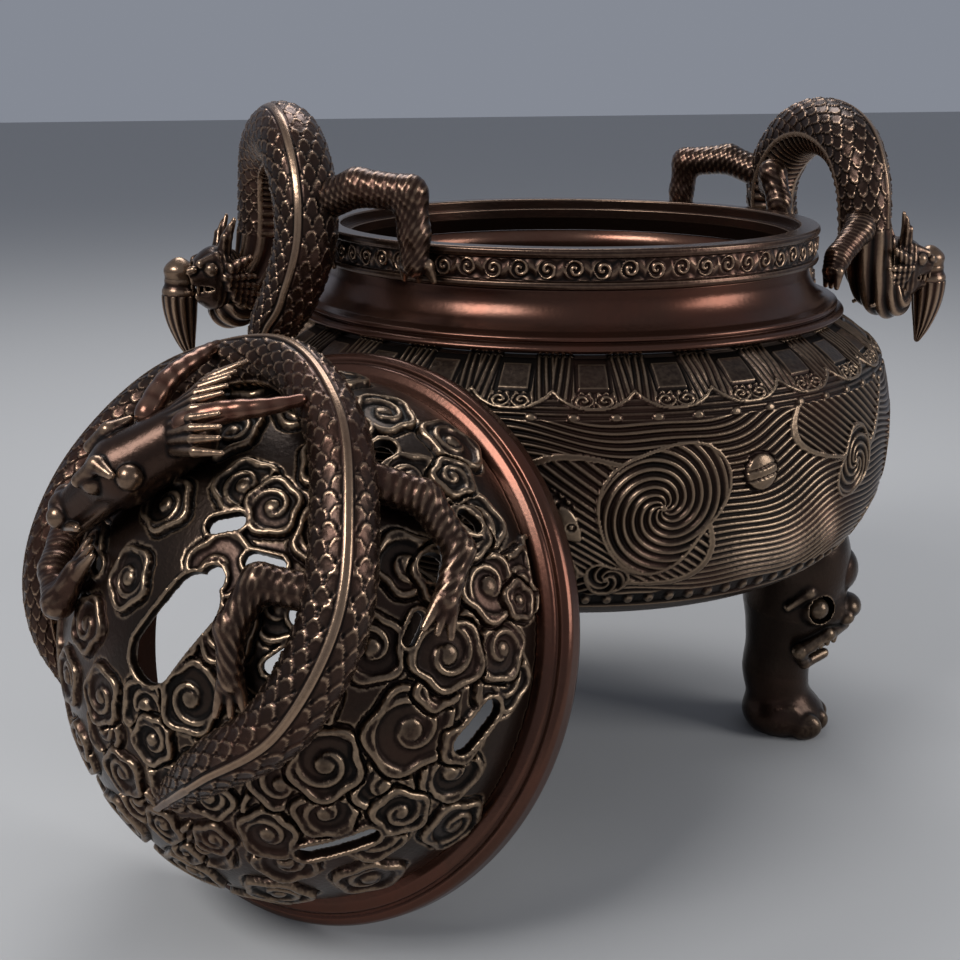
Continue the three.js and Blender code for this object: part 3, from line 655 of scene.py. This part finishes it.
def gripping(chain, claws):
    """A clawed leg as one field: a bent limb and claws that hold the rim."""
    def field(p):
        d = limb(p, chain[0][:3], chain[1][:3], chain[0][3], chain[1][3])
        for first, second in zip(chain[1:], chain[2:]):
            d = blend(d, limb(p, first[:3], second[:3], first[3], second[3]), 1.6)
        start = np.asarray(chain[0][:3], np.float32)
        rows = np.linalg.norm(p - start, axis=-1)
        d = d - 0.13 * np.cos(TAU * rows / 1.9) * np.cos(TAU * (p[..., 2] + 0.6 * p[..., 0]) / 3.4)
        for claw_start, claw_end in claws:
            d = blend(d, limb(p, claw_start, claw_end, 1.9, 0.8), 0.5)
        return d
    return field


def polar(radius, degrees, height):
    turn = math.radians(degrees)
    return (radius * math.cos(turn), radius * math.sin(turn), height)


GRIP = RIM_RADIUS + 4.6
hind_chain = [
    (ARCH_OFFSET - 1, ARCH_HALF_WIDTH - 3, 171, 5.2), (ARCH_OFFSET - 11, ARCH_HALF_WIDTH + 10, 177, 4.9),
    (*polar(GRIP, 35.5, RIM_HEIGHT + 13), 4.7), (*polar(GRIP, 36.5, RIM_HEIGHT + 3), 4.1),
    (*polar(GRIP, 36.5, COLLAR_BOTTOM + 6), 3.8),
]
middle_chain = [
    (ARCH_OFFSET - 3, ARCH_HALF_WIDTH * 0.8, 168, 4.3), (*polar(GRIP, 9, RIM_HEIGHT + 11), 4.4),
    (*polar(GRIP, 6, RIM_HEIGHT + 2), 3.8), (*polar(GRIP, 6, COLLAR_BOTTOM + 6), 3.8),
]
fore_paw = (NECK_RADIUS * 0.9 + 4.6, -NECK_RADIUS * 0.5 - 2.2, COLLAR_BOTTOM - 3.6)
fore_chain = [
    (ARCH_OFFSET - 1, -ARCH_HALF_WIDTH + 1, 166, 4.3), (ARCH_OFFSET - 5, -ARCH_HALF_WIDTH - 6, 160, 4.3),
    (fore_paw[0] + 2, fore_paw[1] + 1, 152.5, 3.7), (*fore_paw, 3.3),
]


def claws_round(centre_angle, height):
    claws = []
    for turn in (-2.6, 0, 2.6):
        root = polar(GRIP - 0.4, centre_angle + turn, height)
        claws.append((root, polar(GRIP - 1.8, centre_angle + 1.35 * turn, height - 4.2)))
    return claws


fore_claws = []
for turn in (-2.4, 0, 2.4):
    root = (fore_paw[0], fore_paw[1] + turn, fore_paw[2])
    fore_claws.append((root, (fore_paw[0] - 0.4, fore_paw[1] + 1.2 * turn, fore_paw[2] - 4.6)))
handle_limbs = [
    ("hind_leg", hind_chain, claws_round(36.5, COLLAR_BOTTOM + 5.5), (56, 18, 149), (92, 56, 184)),
    ("middle_leg", middle_chain, claws_round(6, COLLAR_BOTTOM + 5.5), (70, 1, 149), (92, 28, 180)),
    ("fore_leg", fore_chain, fore_claws, (62, -45, 141), (92, -20, 172)),
]

for number in (1, 2):
    place = turned_by(180 * (number - 1))
    sweep(f"dragon_{number}_body", body_stops, 560, 132, arch_back, serpent(3.3, 0.9, 3.0, 2.25, 0.80),
          "bronze_worn", "censer", [f"handle_{number}_body"], place)
    wax(f"dragon_{number}_head", (86, NECK_Y - 12, 132), (117, NECK_Y + 12, 167), 0.34, head_field, place,
        "bronze_worn", "censer", [f"handle_{number}_head"])
    sweep(f"dragon_{number}_beard", beard_stops, 150, 84, lambda centre: np.tile([0, 1.0, 0], (len(centre), 1)),
          beard_relief, "bronze_worn", "censer", [f"handle_{number}_beard"], place)
    for part, chain, claws, low, high in handle_limbs:
        wax(f"dragon_{number}_{part}", low, high, 0.36, gripping(chain, claws), place, "bronze_worn", "censer",
            [f"handle_{number}_{part}"])


# The lid's own frame: its rim's back plane is z = 0, z runs out to the dome and y up its lean.

rim_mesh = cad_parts["lid_rim"].data
rim_points = np.zeros(len(rim_mesh.vertices) * 3)
rim_mesh.vertices.foreach_get("co", rim_points)
rim_points = rim_points.reshape(-1, 3) * 1000 - AXIS
rim_corners = np.unique(np.round(rim_points, 2), axis=0)
rim_centre = (rim_corners.max(0) + rim_corners.min(0)) / 2
_, _, directions = np.linalg.svd(rim_corners - rim_corners.mean(0), full_matrices=False)
lid_z = directions[2] * np.sign(directions[2] @ [rim_centre[0], rim_centre[1], 0])
lid_y = unit(np.array([0, 0, 1.0]) - lid_z[2] * lid_z)
lid_x = np.cross(lid_y, lid_z)
reach = np.stack([(rim_corners @ lid_x), (rim_corners @ lid_y), (rim_corners @ lid_z)], 1)
lid_origin = ((reach[:, 0].max() + reach[:, 0].min()) / 2 * lid_x
              + (reach[:, 1].max() + reach[:, 1].min()) / 2 * lid_y + reach[:, 2].min() * lid_z)


def on_lid(points):
    return lid_origin + points @ np.stack([lid_x, lid_y, lid_z])


DOME_FOOT = LID_RIM_DEPTH + GAP
DOME_RADIUS = LID_RADIUS - LID_RIM_WIDTH + 4
DOME_RISE = LID_HEIGHT - DOME_FOOT


def over_dome(down, around, rise):
    """A point over the dome: degrees down from its top, degrees round it, and a rise."""
    down = math.radians(down)
    around = math.radians(around)
    swell = 1 + rise / DOME_RADIUS
    return (DOME_RADIUS * math.sin(down) * swell * math.cos(around),
            DOME_RADIUS * math.sin(down) * swell * math.sin(around),
            DOME_FOOT + DOME_RISE * math.cos(down) * swell)


# Cloud scrolls read off the photograph: pixels across and down to the middle, and a radius in millimetres.
PHOTO_SCROLLS = [
    (185, 855, 4.6), (162, 828, 6.0), (212, 842, 5.6), (267, 838, 7.8), (78, 742, 6.0), (120, 775, 7.4),
    (167, 788, 6.8), (207, 800, 6.8), (280, 787, 7.6), (325, 817, 7.4), (385, 790, 7.2), (402, 815, 7.0),
    (325, 767, 9.2), (150, 742, 7.0), (227, 735, 10.4), (189, 700, 9.4), (98, 697, 8.2), (412, 732, 10.8),
    (465, 745, 5.5), (440, 690, 5.5), (505, 650, 7.4), (450, 655, 9.0), (442, 575, 6.8), (492, 585, 8.6),
    (522, 600, 5.2), (470, 530, 6.6), (455, 475, 6.0), (272, 505, 7.6), (225, 632, 8.0), (217, 570, 10.2),
]
# Openings read off the photograph: two ends in pixels and half a width in millimetres.
PHOTO_OPENINGS = [
    (150, 655, 192, 602, 7.4), (214, 524, 236, 520, 2.4), (302, 614, 304, 616, 3.2), (270, 668, 290, 654, 1.9),
    (466, 744, 492, 712, 2.9), (305, 856, 370, 838, 2.4), (362, 462, 386, 446, 2.7), (466, 516, 476, 524, 2.0),
    (530, 545, 537, 580, 1.6), (90, 556, 96, 566, 2.4), (252, 560, 276, 566, 2.4), (420, 618, 410, 640, 1.6),
]
# Openings on the side that the photograph doesn't show: degrees down, degrees round and a radius.
FAR_OPENINGS = [(60, 26, 3.4), (60, 66, 3.2), (64, 100, 3.2), (62, 140, 3.2), (17, 45, 3.4), (36, 24, 2.8)]
SCROLL_COUNT = 64
DOME_DEPTH = 2.1
MAP_REACH = 1.66
MAP_SIZE = 1000


def seen_on_dome(across, down):
    """The direction from the dome's middle to where a pixel of the photograph falls on it."""
    heading = np.array([HEADING[0] * math.cos(PITCH), HEADING[1] * math.cos(PITCH), -math.sin(PITCH)])
    right = unit(np.cross(heading, [0, 0, 1.0]))
    top = np.cross(right, heading)
    half = PHOTO_SIZE / 2
    scale = SENSOR / LENS / PHOTO_SIZE
    ray = heading + right * (across - half) * scale + top * (half - down) * scale
    basis = np.stack([lid_x, lid_y, lid_z])
    shape = np.array([DOME_RADIUS, DOME_RADIUS, DOME_RISE])
    start = (basis @ (np.array(CAMERA_MM) - lid_origin) - [0, 0, DOME_FOOT]) / shape
    ray = (basis @ ray) / shape
    middle = -(start @ ray) / (ray @ ray)
    spare = middle**2 - (start @ start - 1) / (ray @ ray)
    return unit((start + ray * (middle - math.sqrt(max(spare, 0)))) * shape)


def direction_of(down, around):
    return unit(np.array(over_dome(down, around, 0)) - [0, 0, DOME_FOOT])


def flat_round(directions, centre):
    """Millimetres east and north of a place on the dome, and whether a point is on its side."""
    east = unit(np.cross([0.02, 0.01, 1.0], centre))
    north = np.cross(centre, east)
    return directions @ east * DOME_RADIUS, directions @ north * DOME_RADIUS, directions @ centre > 0


def scroll(x, y, size, turn, hand):
    """A cloud scroll: a plate with a raised, lobed edge and a thread that winds in to a knob."""
    far = np.hypot(x, y)
    angle = np.arctan2(y, x) * hand + turn
    edge = size * (1 + 0.07 * np.cos(5 * angle) + 0.06 * np.cos(2 * angle + 1))
    spacing = 0.62 * size
    off = np.abs((far / spacing - angle / TAU) % 1 - 0.5) * spacing
    height = 0.34 + 0.46 * smooth(1.25, 0.4, off) * (far < edge - 0.8) + 0.10 * far / size
    height = np.maximum(height, 1 - 0.62 * smooth(0.5, 1.3, np.abs(far - edge + 1.0)))
    knob = far / (0.27 * size)
    height = np.where(knob < 1, 0.55 + 0.45 * np.sqrt(np.clip(1 - knob**2, 0, 1)), height)
    return np.where(far > edge, 0.0, height), far < edge + 0.7


def dome_map():
    """The dome's relief height and the depth inside its openings, over degrees down from its top."""
    side = np.linspace(-MAP_REACH, MAP_REACH, MAP_SIZE)
    u, v = np.meshgrid(side, side, indexing="ij")
    down = np.maximum(np.hypot(u, v), 1e-6)
    directions = np.stack([np.sin(down) * u / down, np.sin(down) * v / down, np.cos(down)], -1)
    height = np.full(down.shape, 0.3)
    cut = np.full(down.shape, -50.0)
    golden = 137.5
    scrolls = []
    for i in range(SCROLL_COUNT):
        spread = math.degrees(math.acos(1 - 0.92 * (i + 0.5) / SCROLL_COUNT))
        scrolls.append((direction_of(spread, golden * i), 8.2))
    scrolls += [(seen_on_dome(across, low), size) for across, low, size in PHOTO_SCROLLS]
    for i, (centre, size) in enumerate(scrolls):
        x, y, front = flat_round(directions, centre)
        curl, inside = scroll(x, y, size, 1.9 * i, 1 if i % 2 else -1)
        height = np.where(inside & front, curl, height)
    slots = [(seen_on_dome(x0, y0), seen_on_dome(x1, y1), half) for x0, y0, x1, y1, half in PHOTO_OPENINGS]
    for low, around, half in FAR_OPENINGS:
        slots.append((direction_of(low, around), direction_of(low, around), half))
    for first, last, half in slots:
        centre = unit(first + last)
        x, y, front = flat_round(directions, centre)
        end_x, end_y, _ = flat_round(last, centre)
        along = np.clip((x * end_x + y * end_y) / max(end_x**2 + end_y**2, 1e-6), -1, 1)
        hole = half - np.hypot(x - along * end_x, y - along * end_y)
        cut = np.where(front, np.maximum(cut, hole), cut)
    return np.where(cut > -1.2, 0.95, height), cut


dome_height, dome_cut = dome_map()


def sampled(grid, u, v):
    """Values of a map between its points."""
    row = np.clip((u / MAP_REACH + 1) / 2 * (MAP_SIZE - 1), 0, MAP_SIZE - 1.001)
    column = np.clip((v / MAP_REACH + 1) / 2 * (MAP_SIZE - 1), 0, MAP_SIZE - 1.001)
    i, j = row.astype(int), column.astype(int)
    f, g = row - i, column - j
    low = grid[i, j] * (1 - g) + grid[i, j + 1] * g
    high = grid[i + 1, j] * (1 - g) + grid[i + 1, j + 1] * g
    return low * (1 - f) + high * f


def dome_field(p):
    q = p - np.array([0, 0, DOME_FOOT], np.float32)
    swell = np.linalg.norm(q / np.array([DOME_RADIUS, DOME_RADIUS, DOME_RISE], np.float32), axis=-1)
    depth = (swell - 1) * DOME_RADIUS * 0.97
    direction = unit(q)
    down = np.arccos(np.clip(direction[..., 2], -1, 1))
    flat = np.maximum(np.hypot(direction[..., 0], direction[..., 1]), 1e-6)
    u, v = down * direction[..., 0] / flat, down * direction[..., 1] / flat
    shell = np.maximum(depth - DOME_DEPTH * (sampled(dome_height, u, v) - 1) - 0.1, -depth - 3.0)
    shell = np.maximum(shell, sampled(dome_cut, u, v) * 0.9)
    return np.maximum(shell, DOME_FOOT - p[..., 2])


wax("lid_openwork", (-68, -68, 7.4), (68, 68, 68), 0.46, dome_field, on_lid, "bronze_relief", "lid",
    ["lid_dome"], 1)

rim_outline = [
    (LID_RADIUS - LID_RIM_WIDTH, 0.05), (LID_RADIUS - 1, 0.05), (LID_RADIUS - 0.2, 0.5), (LID_RADIUS, 1.4),
    (LID_RADIUS, LID_RIM_DEPTH - 3.4), (LID_RADIUS - 0.5, LID_RIM_DEPTH - 2.3),
    (LID_RADIUS - 1.7, LID_RIM_DEPTH - 1.4), (LID_RADIUS - 3.0, LID_RIM_DEPTH - 1.6),
    (LID_RADIUS - 3.6, LID_RIM_DEPTH - 0.6), (LID_RADIUS - 5.5, LID_RIM_DEPTH - 0.1),
    (LID_RADIUS - LID_RIM_WIDTH, LID_RIM_DEPTH), (LID_RADIUS - LID_RIM_WIDTH, 0.05),
]
turned("lid_rim_skin", resampled(rim_outline, 0.35), 400, plain, "bronze_smooth", "lid", ["lid_rim"], on_lid)

band_stops = [
    (66, -150, -5, 2.6), (56, -168, 0.5, 4.6), (52, 172, 2.6, 6.0), (56, 148, 3.0, 6.4), (62, 122, 3, 6.6),
    (62, 92, 3, 6.6), (52, 64, 3.2, 7.2), (43, 38, 2.8, 7.8), (38, 12, 2.4, 8.0), (33, -18, 1.6, 7.6),
    (29, -50, -1.6, 6.2), (34, -78, -5.5, 4.2), (44, -96, -6, 2.0),
]
dome_middle = np.array([0, 0, DOME_FOOT])
band = [(*over_dome(down, around, rise + 3), size) for down, around, rise, size in band_stops]
sweep("lid_dragon_coil", band, 620, 120, lambda centre: centre - dome_middle,
      serpent(3.2, 0.9, 3.0, 2.2, 2.0, True), "bronze_worn", "lid", ["lid_dragon_body"], on_lid)


def at(down, around, rise):
    return np.array(over_dome(down, around, rise), np.float32)


def lid_head_field(p):
    back, brow, nose = at(37, 98, 6), at(30, 118, 7.5), at(33, 150, 6)
    d = limb(p, back, brow, 7.4, 8.2)
    d = blend(d, limb(p, brow, nose, 7.4, 5.0), 3)
    out = unit(brow - dome_middle.astype(np.float32))
    forward = unit(nose - brow)
    left = np.cross(out, forward)
    d = blend(d, ellipsoid(p, nose + out * 2.6, (4.2, 4.2, 4.2)), 1.2)
    d = blend(d, limb(p, brow + out * 5.5, nose + out * 4.2 - forward * 4, 2.6, 2.0), 1.0)
    for side in (-1, 1):
        across = left * side
        nostril = nose + across * 3.4 + out * 3.4 + forward * 0.6
        d = blend(d, ellipsoid(p, nostril, (2.9, 2.9, 2.9)), 0.5)
        d = np.maximum(d, -ellipsoid(p, nostril + forward * 2.4 + across * 0.8, (1.2, 1.2, 1.2)))
        eye = brow + forward * 4.2 + across * 5.6 + out * 5.0
        d = np.minimum(d, ellipsoid(p, eye, (3.0, 3.0, 3.0)))
        ring = limb(p, eye + out * 2.6 - forward * 4.4, eye + out * 2.6 + forward * 2.8, 2.1, 1.7)
        d = blend(d, ring, 0.4)
        d = blend(d, limb(p, eye + out * 2.6 - forward * 4.4, eye - forward * 8 + across * 3.6, 2.1, 1.0), 0.5)
        jaw = limb(p, brow + across * 6 - forward * 3 - out, nose + across * 4.2 - out * 1.5, 2.7, 1.8)
        d = blend(d, jaw, 0.5)
        whisker = nose + across * 4.6 + out * 0.6
        d = blend(d, limb(p, whisker, whisker - forward * 6 + across * 4.6, 1.5, 1.0), 0.4)
        cheek = brow + across * 7.4 - forward * 5.4 + out * 1.0
        d = blend(d, ellipsoid(p, cheek, (3.0, 3.0, 3.0)), 0.4)
        d = np.maximum(d, -(np.abs(np.linalg.norm(p - cheek, axis=-1) - 1.9) - 0.35) - 50 * (d < -1.2))
    for i in range(11):
        spread = i - 5
        start = back + left * spread * 1.5 + out * (6.0 - 0.15 * spread**2)
        bend = start - forward * 8 + left * spread * 1.1 - out * 1.0
        tip = bend - forward * 7 + left * spread * 0.5 - out * (3.4 - 0.5 * (i % 2))
        d = blend(d, limb(p, start, bend, 1.5, 1.2), 0.3)
        d = blend(d, limb(p, bend, tip, 1.2, 0.6), 0.3)
    return d


wax("lid_dragon_mask", (-62, 0, 30), (30, 70, 82), 0.4, lid_head_field, on_lid, "bronze_worn", "lid",
    ["lid_dragon_head"])


def horn_relief(s, a, radius, total):
    height = 0.62 + 0.38 * ridge(TAU * s / 4.2)
    return (height - 1) * 0.35, height


horn_stops = [
    [(34, 96, 12, 3.2), (38, 84, 13, 2.8), (44, 74, 12, 2.0), (50, 70, 11, 1.3)],
    [(36, 110, 12, 3.2), (46, 108, 13, 2.8), (56, 106, 12, 2.0), (64, 108, 11, 1.3)],
]
for number, stops in enumerate(horn_stops, 1):
    sweep(f"lid_horn_{number}", [(*over_dome(*stop[:3]), stop[3]) for stop in stops], 110, 48,
          lambda centre: centre - dome_middle + np.array([9.0, 0, 0]), horn_relief, "bronze_smooth", "lid",
          [f"lid_dragon_horn_{number}"], on_lid)

lid_leg_stops = [
    [(44, 160, 3, 4.4), (34, 172, 4, 4.0), (27, -178, 4, 3.6), (24, 165, 3, 2.8)],
    [(36, 22, 3, 4.4), (26, 30, 4, 4.0), (20, 12, 4, 3.4), (22, -14, 3, 2.8)],
    [(52, 48, 3, 4.4), (60, 40, 4, 4.0), (64, 28, 4, 3.4), (60, 18, 3, 2.8)],
]
for number, stops in enumerate(lid_leg_stops, 1):
    chain = [(*over_dome(*stop[:3]), stop[3]) for stop in stops]
    tip = np.array(chain[-1][:3])
    heading = unit(tip - np.array(chain[-2][:3]))
    aside = np.cross(unit(tip - dome_middle), heading)
    claws = [(tip + aside * turn * 1.4, tip + heading * 7 + aside * turn * 3.4) for turn in (-1, 0, 1)]
    corners = np.array([stop[:3] for stop in chain] + [end for _, end in claws])
    wax(f"lid_claw_{number}", corners.min(0) - 6, corners.max(0) + 6, 0.4, gripping(chain, claws), on_lid,
        "bronze_worn", "lid", [f"lid_dragon_leg_{number}"])

# The rivets keep their CAD shape.
for number in range(1, len(LEG_ANGLES) + 1):
    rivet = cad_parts[f"leg_rivet_{number}"]
    rivet.data.materials.clear()
    rivet.data.materials.append(finishes["bronze_smooth"])


# Floor and light

def flat_material(name, colour, roughness):
    material = bpy.data.materials.new(name)
    material.use_nodes = True
    shader = material.node_tree.nodes["Principled BSDF"]
    shader.inputs["Base Color"].default_value = (*colour, 1)
    shader.inputs["Roughness"].default_value = roughness
    return material


def stage_sheet(name, corners, colour):
    mesh = bpy.data.meshes.new(name)
    mesh.from_pydata(corners, [], [(0, 1, 2, 3)])
    mesh.materials.append(flat_material(name, colour, 0.7))
    sheet = bpy.data.objects.new(name, mesh)
    bpy.context.scene.collection.objects.link(sheet)


stage_sheet("floor", [(-6, -6, 0), (6, -6, 0), (6, 6, 0), (-6, 6, 0)], (0.44, 0.44, 0.44))

world = bpy.data.worlds.new("studio")
world.use_nodes = True
world.node_tree.nodes["Background"].inputs["Color"].default_value = (0.38, 0.41, 0.48, 1)
world.node_tree.nodes["Background"].inputs["Strength"].default_value = 0.62
bpy.context.scene.world = world

focus = Vector((AXIS[0] * 0.001 - 0.02, AXIS[1] * 0.001 - 0.02, 0.09))


def softbox(name, place, size, watts):
    data = bpy.data.lights.new(name, "AREA")
    data.shape = "RECTANGLE"
    data.size = size[0]
    data.size_y = size[1]
    data.energy = watts
    lamp = bpy.data.objects.new(name, data)
    lamp.location = place
    lamp.rotation_euler = (focus - Vector(place)).to_track_quat("-Z", "Y").to_euler()
    bpy.context.scene.collection.objects.link(lamp)


softbox("key", (-0.75, -0.35, 0.85), (0.5, 0.35), 8)
softbox("fill", (0.75, -0.60, 0.45), (0.4, 0.5), 4)
softbox("top", (0.10, 0.55, 0.95), (0.6, 0.4), 5)

camera_data = bpy.data.cameras.new("camera")
camera_data.lens = LENS
camera_data.sensor_width = SENSOR
camera_data.clip_start = 0.01
camera = bpy.data.objects.new("camera", camera_data)
bpy.context.scene.collection.objects.link(camera)
forward = Vector((HEADING[0] * math.cos(PITCH), HEADING[1] * math.cos(PITCH), -math.sin(PITCH)))
turn = forward.to_track_quat("-Z", "Y").to_matrix().to_4x4()
camera.matrix_world = Matrix.Translation((np.array(CAMERA_MM) + AXIS) * 0.001) @ turn
bpy.context.scene.camera = camera
bpy.context.scene.view_settings.view_transform = "Standard"
